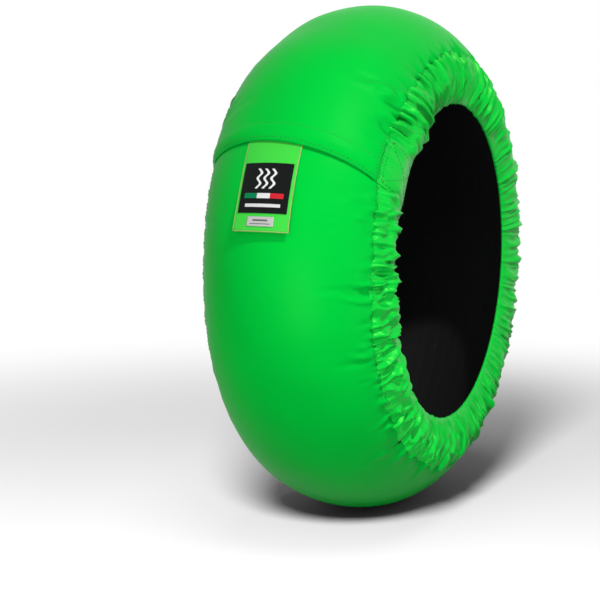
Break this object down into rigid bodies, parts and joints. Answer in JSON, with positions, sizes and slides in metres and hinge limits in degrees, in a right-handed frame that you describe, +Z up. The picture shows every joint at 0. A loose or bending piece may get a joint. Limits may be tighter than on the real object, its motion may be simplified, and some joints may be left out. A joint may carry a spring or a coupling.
{
  "type": "motorcycle tyre warmer",
  "caption": "Heated fabric sleeve that wraps round a motorcycle wheel's tyre, with a hook and loop flap, elastic gathered sides and an open middle.",
  "frame": {"origin": "centre of the wheel that the warmer is wrapped round, on its axle line", "axes": "+Y along the wheel's axle, towards the side with the lead gland, +Z up, -X towards the closure flap and label"},
  "size_m": [0.6594, 0.2648, 0.6594],
  "materials": {
    "cover_fabric": "satin green nylon",
    "label_fabric": "satin light green nylon",
    "black_print": "satin black printed field",
    "grey_print": "matte light grey woven tag",
    "lining_fabric": "matte black heat-resistant lining",
    "felt": "matte off-white felt",
    "wire_sleeve": "satin silicone sleeve",
    "closure_tape": "matte hook and loop tape",
    "elastic": "matte woven elastic",
    "moulded_rubber": "satin black moulding",
    "steel": "plain steel"
  },
  "bodies": {
    "root": {"outer_shell": "cover_fabric", "left_curtain": "cover_fabric", "right_curtain": "cover_fabric", "insulation_felt": "felt", "inner_lining": "lining_fabric", "heating_wire_in": "wire_sleeve", "heating_wire_out": "wire_sleeve", "thermostat": "moulded_rubber", "wire_splice_1": "steel", "wire_splice_2": "steel", "tread_hook_strip": "closure_tape", "tread_loop_strip": "closure_tape", "left_hook_patch": "closure_tape", "left_loop_patch": "closure_tape", "right_hook_patch": "closure_tape", "right_loop_patch": "closure_tape", "left_elastic": "elastic", "right_elastic": "elastic", "label_tab": "label_fabric", "label_field": "black_print", "label_tag": "grey_print", "lead_gland": "moulded_rubber", "gland_backing_plate": "moulded_rubber", "gland_rivet_1": "steel", "gland_rivet_2": "steel"}
  },
  "joints": []
}
